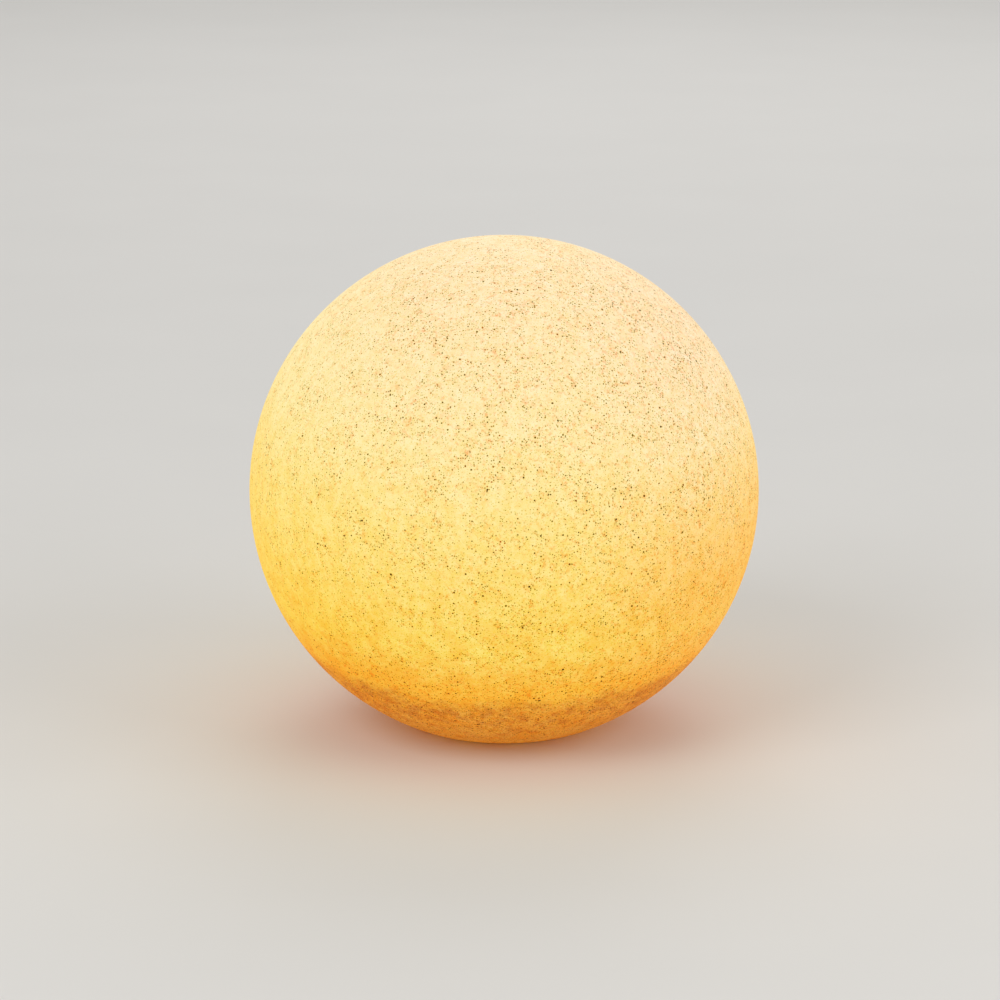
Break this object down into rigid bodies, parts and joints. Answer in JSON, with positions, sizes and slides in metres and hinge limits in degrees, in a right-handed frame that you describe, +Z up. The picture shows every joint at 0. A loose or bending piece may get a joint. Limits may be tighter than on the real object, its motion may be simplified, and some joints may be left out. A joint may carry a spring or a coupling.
{
  "type": "garden globe light",
  "caption": "Outdoor garden globe light: translucent stone-look ball with a flat foot on a recessed base unit with cable gland, lamp holder and screw-in LED lamp.",
  "frame": {"origin": "centre of the resting plane under the rubber feet", "axes": "+Z up, -Y towards the viewer, the cable gland and the cord slot point towards +Y"},
  "size_m": [0.3, 0.2998, 0.2905],
  "materials": {
    "stone_look_shell": "matt translucent polyethylene with mineral speckle",
    "brass": "bare machined brass",
    "tray_black": "fine matt texture",
    "seal_rubber": "matt soft rubber",
    "foot_rubber": "matt rubber",
    "stainless": "bright stainless steel",
    "zinc_steel": "zinc plated steel",
    "gland_nylon": "satin nylon",
    "terminal_ivory": "satin moulded plastic",
    "plate_white": "satin moulded plastic",
    "holder_black": "moulded phenolic",
    "steatite": "unglazed ceramic",
    "contact_brass": "sprung brass strip",
    "shell_nickel": "nickel plated brass",
    "brown_insulation": "satin cable insulation",
    "blue_insulation": "satin cable insulation",
    "lamp_opal": "frosted opal",
    "lamp_white": "satin white",
    "cap_aluminium": "pressed aluminium",
    "insulator_dark": "dark insulating compound",
    "board_white": "white solder mask",
    "led_phosphor": "yellow phosphor",
    "board_green": "green solder mask",
    "capacitor_sleeve": "printed-free sleeve",
    "coil_varnish": "varnished winding and core"
  },
  "bodies": {
    "base": {"base_tray": "tray_black", "base_gasket": "seal_rubber", "rubber_feet": "foot_rubber", "base_screws": "stainless", "gland_body": "gland_nylon", "gland_seal": "seal_rubber", "gland_washer": "seal_rubber", "gland_dome_nut": "gland_nylon", "gland_lock_nut": "gland_nylon", "terminal_block": "terminal_ivory", "terminal_barrels": "brass", "terminal_screws": "zinc_steel", "terminal_fixing_screw": "zinc_steel", "chamber_seal": "seal_rubber", "lamp_plate": "plate_white", "plate_screws": "stainless", "holder_base": "holder_black", "holder_screws": "zinc_steel", "holder_insert": "steatite", "holder_terminals": "brass", "holder_terminal_screws": "zinc_steel", "screw_shell": "shell_nickel", "centre_contact": "contact_brass", "side_contact": "contact_brass", "holder_sleeve": "holder_black", "live_lead": "brown_insulation", "neutral_lead": "blue_insulation"},
    "globe": {"globe_shell": "stone_look_shell", "threaded_inserts": "brass"},
    "bulb_dome": {"bulb_diffuser": "lamp_opal"},
    "bulb_body": {"bulb_housing": "lamp_white", "bulb_cap": "cap_aluminium", "bulb_insulator": "insulator_dark", "bulb_eyelet": "cap_aluminium", "led_board": "board_white", "led_chips": "led_phosphor", "driver_board": "board_green", "driver_capacitor": "capacitor_sleeve", "driver_coil": "coil_varnish"}
  },
  "joints": [
    {"name": "globe_lift", "type": "slide", "parent": "base", "child": "globe", "axis": [0, 0, 1], "range_m": [0, 0.2]},
    {"name": "bulb_rise", "type": "slide", "parent": "base", "child": "bulb_dome", "axis": [0, 0, 1], "range_m": [0, 0.026]},
    {"name": "bulb_turn", "type": "hinge", "parent": "bulb_dome", "child": "bulb_body", "pos_m": [0, 0, 0.1], "axis": [0, 0, 1], "range_deg": [0, 2520]}
  ],
  "couplings": [
    {"joint": "bulb_rise", "follows": "bulb_turn", "m_per_rad": 0.00057757}
  ]
}
